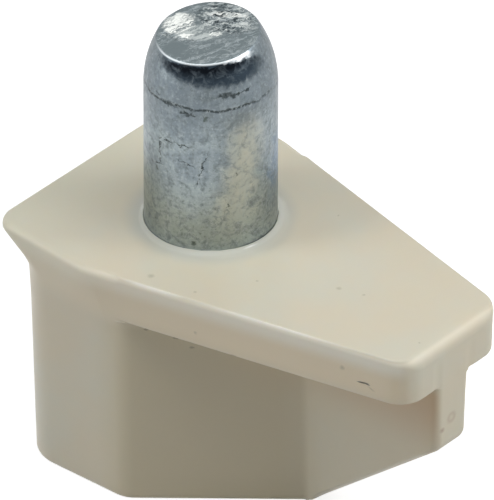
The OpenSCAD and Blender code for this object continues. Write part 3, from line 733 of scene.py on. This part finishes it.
    skin_tone = add(tree, "Mix", {0: pale, 6: linear("#838E94"), 7: linear("#96A1A4")},
                    data_type="RGBA").outputs[2]
    skin_tone = layered(tree, skin_tone, [
        (base_tint, "#9CA49E"), (yellow, "#C0C1B6"), (blue, "#58738C"), (upper, "#6E787F"), (drawn, "#A3ACAD"),
        (dull, "#70797C"), (fleck, "#AEB6B7"), (pit, "#5C6564"), (craze, "#4E5758"), (spot, "#464F48"),
        (dark_crescent, "#2C3741"), (black, "#0E1116"), (glint, "#F1F4F6"), (rim, "#C6CDD0"), (crack, "#2C3232")])
    tone = add(tree, "Mix", {0: cut, 6: skin_tone, 7: face}, data_type="RGBA").outputs[2]
    tree.links.new(tone, shader.inputs["Base Color"])

    # Relief: plating grain, sunk cracks, and deeper combing on the cut face
    relief = add(tree, "Math", {0: grain, 1: 0.4, 2: blotch}, operation="MULTIPLY_ADD").outputs[0]
    relief = add(tree, "Math", {0: crack, 1: -0.8, 2: relief}, operation="MULTIPLY_ADD").outputs[0]
    combing = add(tree, "Math", {0: pitted, 1: -0.8, 2: streak}, operation="MULTIPLY_ADD").outputs[0]
    relief = add(tree, "Mix", {0: cut, 2: relief, 3: combing}).outputs[0]
    bump = add(tree, "Bump", {"Height": relief, "Strength": 0.7, "Distance": 0.02 * MM}).outputs[0]
    tree.links.new(bump, shader.inputs["Normal"])
    tree.links.new(gloss, shader.inputs["Roughness"])
    shader.inputs["Metallic"].default_value = 1.0
    return material


# ---------------------------------------------------------------- pieces
plastic, steel = moulded_plastic(), plated_steel()

bracket = skin("moulded_bracket", bracket_rings())
bracket.data.materials.append(plastic)
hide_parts("bracket_body")
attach(bracket, "root")

pin = skin("plated_pin", pin_rings())
pin.data.materials.append(steel)
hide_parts("steel_pin")
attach(pin, "root")


# ---------------------------------------------------------------- floor, light and camera
def seen_directly(tree):
    """1 for rays from the camera, from a reflection and through glass, 0 for the rest."""
    path = add(tree, "LightPath").outputs
    return strongest(tree, [path["Is Camera Ray"], path["Is Glossy Ray"], path["Is Transmission Ray"]])


def pale_floor():
    """A matt pale table top. Where it is seen directly a glow lifts it to white, and the shadow stays."""
    material = bpy.data.materials.new("matt_pale_table")
    material.use_nodes = True
    tree = material.node_tree
    tree.nodes.clear()
    grey, lift = 0.55, 0.78          # of the table itself, and of the glow over it
    matt = add(tree, "BsdfDiffuse", {"Color": (grey, grey, grey, 1)})
    level = add(tree, "Math", {0: seen_directly(tree), 1: lift}, operation="MULTIPLY").outputs[0]
    glow = add(tree, "Emission", {"Color": (1, 1, 1, 1), "Strength": level})
    both = add(tree, "AddShader", {0: matt.outputs[0], 1: glow.outputs[0]})
    add(tree, "OutputMaterial", {"Surface": both.outputs[0]})
    mesh = bpy.data.meshes.new("table")
    z, reach = -BLOCK_H * MM, 2.0
    mesh.from_pydata([(-reach, -reach, z), (reach, -reach, z), (reach, reach, z), (-reach, reach, z)], [],
                     [(0, 1, 2, 3)])
    obj = bpy.data.objects.new("table", mesh)
    obj.data.materials.append(material)
    bpy.context.scene.collection.objects.link(obj)
    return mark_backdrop(obj)


def softbox(name, bearing, height, distance, side, power):
    """A square area lamp that faces the object from a bearing and a height, in degrees."""
    a, e = math.radians(bearing), math.radians(height)
    way = Vector((math.cos(a) * math.cos(e), math.sin(a) * math.cos(e), math.sin(e)))
    data = bpy.data.lights.new(name, "AREA")
    data.shape, data.size, data.energy = "SQUARE", side, power
    lamp = bpy.data.objects.new(name, data)
    lamp.location = way * distance
    lamp.rotation_euler = way.to_track_quat("Z", "Y").to_euler()
    bpy.context.scene.collection.objects.link(lamp)


pale_floor()
AMBIENT = 0.1
world = bpy.data.worlds.new("studio")
bpy.context.scene.world = world
world.use_nodes = True
sky = world.node_tree
sky.nodes.clear()
fill = add(sky, "Background", {"Color": (1, 1, 1, 1), "Strength": AMBIENT})
white = add(sky, "Background", {"Color": (1, 1, 1, 1), "Strength": 1.0})
either = add(sky, "MixShader", {0: seen_directly(sky), 1: fill.outputs[0], 2: white.outputs[0]})
add(sky, "OutputWorld", {"Surface": either.outputs[0]})
softbox("right_softbox", 23, 40, 0.09, 0.07, 0.046)
softbox("left_softbox", -129, 20, 0.12, 0.08, 0.0325)
softbox("small_softbox", -127, 60, 0.12, 0.022, 0.021)          # for a crisp line along the plate's edge
softbox("overhead_softbox", -60, 75, 0.1, 0.07, 0.023)
softbox("back_softbox", 135, 65, 0.7, 0.45, 0.08)

AZIMUTH, ELEVATION, ROLL = map(math.radians, (40.864, 34.709, 0.100))
DISTANCE, ACROSS, UP = 426.352, -1.3485, 1.3011          # mm; the origin is off the camera's axis
SCALE, SENSOR, PICTURE = 26.813, 36.0, 500          # pixels per mm at the origin, mm, pixels
back = Vector((math.sin(AZIMUTH) * math.cos(ELEVATION), -math.cos(AZIMUTH) * math.cos(ELEVATION),
               math.sin(ELEVATION)))
right = Vector((math.cos(AZIMUTH), math.sin(AZIMUTH), 0))
upward = back.cross(right)
right, upward = (math.cos(ROLL) * right + math.sin(ROLL) * upward,
                 math.cos(ROLL) * upward - math.sin(ROLL) * right)
lens = bpy.data.cameras.new("camera")
lens.sensor_fit, lens.sensor_height, lens.sensor_width = "VERTICAL", SENSOR, SENSOR
lens.lens = SCALE * DISTANCE * SENSOR / PICTURE
lens.clip_start, lens.clip_end = 0.02, 20
camera = bpy.data.objects.new("camera", lens)
turned = Matrix((right, upward, back)).transposed().to_4x4()
camera.matrix_world = Matrix.Translation((back * DISTANCE - right * ACROSS - upward * UP) * MM) @ turned
bpy.context.scene.collection.objects.link(camera)
bpy.context.scene.camera = camera
bpy.context.scene.view_settings.view_transform = "Standard"
